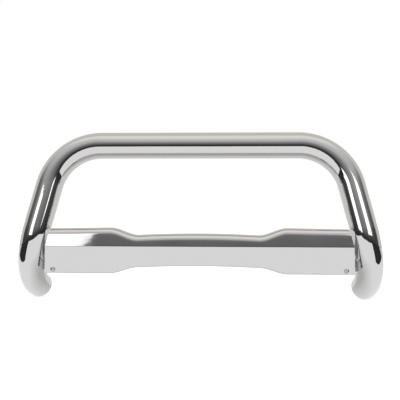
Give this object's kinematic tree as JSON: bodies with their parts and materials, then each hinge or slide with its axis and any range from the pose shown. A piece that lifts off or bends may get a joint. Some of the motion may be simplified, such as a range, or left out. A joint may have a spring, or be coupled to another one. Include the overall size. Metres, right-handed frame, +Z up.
{
  "type": "front grille guard",
  "caption": "Polished stainless hoop grille guard with a creased bow-tie skid plate between its legs, cross tube and slotted mount plates.",
  "frame": {"origin": "midway between the two mount plates, at the centre of their bolt slots", "axes": "+X across the vehicle, +Y to the rear towards the vehicle, +Z up"},
  "size_m": [1.0562, 0.2293, 0.4913],
  "materials": {
    "polished_stainless": "mirror-polished stainless steel",
    "satin_stainless": "satin mill-finish stainless steel",
    "stainless_hardware": "bright turned stainless steel",
    "black_plastic": "moulded black polyethylene"
  },
  "bodies": {
    "root": {"hoop_tube": "polished_stainless", "skid_plate": "polished_stainless", "cross_tube": "satin_stainless", "plate_tab_left": "satin_stainless", "plate_tab_right": "satin_stainless", "plate_bracket_left": "satin_stainless", "plate_bracket_right": "satin_stainless", "mount_plate_left": "satin_stainless", "mount_plate_right": "satin_stainless", "gusset_left": "satin_stainless", "gusset_right": "satin_stainless", "plate_bolt_left": "stainless_hardware", "plate_bolt_right": "stainless_hardware", "bolt_washer_left": "stainless_hardware", "bolt_washer_right": "stainless_hardware", "bolt_nut_left": "stainless_hardware", "bolt_nut_right": "stainless_hardware", "stud_left_inner": "stainless_hardware", "stud_left_outer": "stainless_hardware", "stud_right_inner": "stainless_hardware", "stud_right_outer": "stainless_hardware", "stud_nut_left_inner": "stainless_hardware", "stud_nut_left_outer": "stainless_hardware", "stud_nut_right_inner": "stainless_hardware", "stud_nut_right_outer": "stainless_hardware", "end_plug_left": "black_plastic", "end_plug_right": "black_plastic"}
  },
  "joints": []
}
